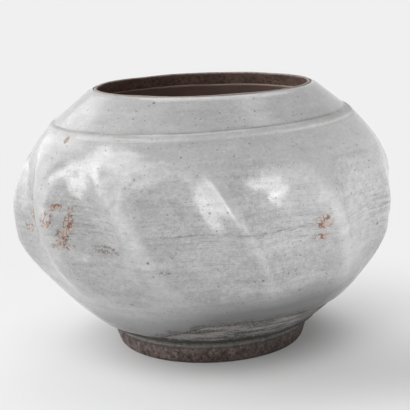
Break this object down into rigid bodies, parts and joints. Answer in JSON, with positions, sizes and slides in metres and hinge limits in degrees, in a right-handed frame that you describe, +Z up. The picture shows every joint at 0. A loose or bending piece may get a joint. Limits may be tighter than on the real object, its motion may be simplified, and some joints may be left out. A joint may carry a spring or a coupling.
{
  "type": "glazed jar",
  "caption": "Wide, squat stoneware jar with a narrow mouth, slanting pressed scoops, a shoulder cordon, a turned foot ring and a pale glaze.",
  "frame": {"origin": "middle of the ring that the jar stands on", "axes": "+Z up through the middle of the mouth, -Y towards the side seen in the picture, +X to the right as seen from there"},
  "size_m": [0.252, 0.2509, 0.172],
  "materials": {
    "pale_glaze": "semi-gloss pale grey glaze with fine speckle, pits, throwing lines and a few iron blushes",
    "inner_glaze": "thin brownish grey satin glaze",
    "bare_clay": "unglazed greyish brown fired clay with a thin slip",
    "foot_clay": "rough reddish brown fired clay with pale ash on its top edge"
  },
  "bodies": {
    "root": {"foot_ring": "foot_clay", "lower_bowl": "bare_clay", "upper_bowl": "bare_clay", "shoulder_cordon": "bare_clay", "collar": "foot_clay", "outer_glaze": "pale_glaze", "inner_glaze": "inner_glaze"}
  },
  "joints": []
}
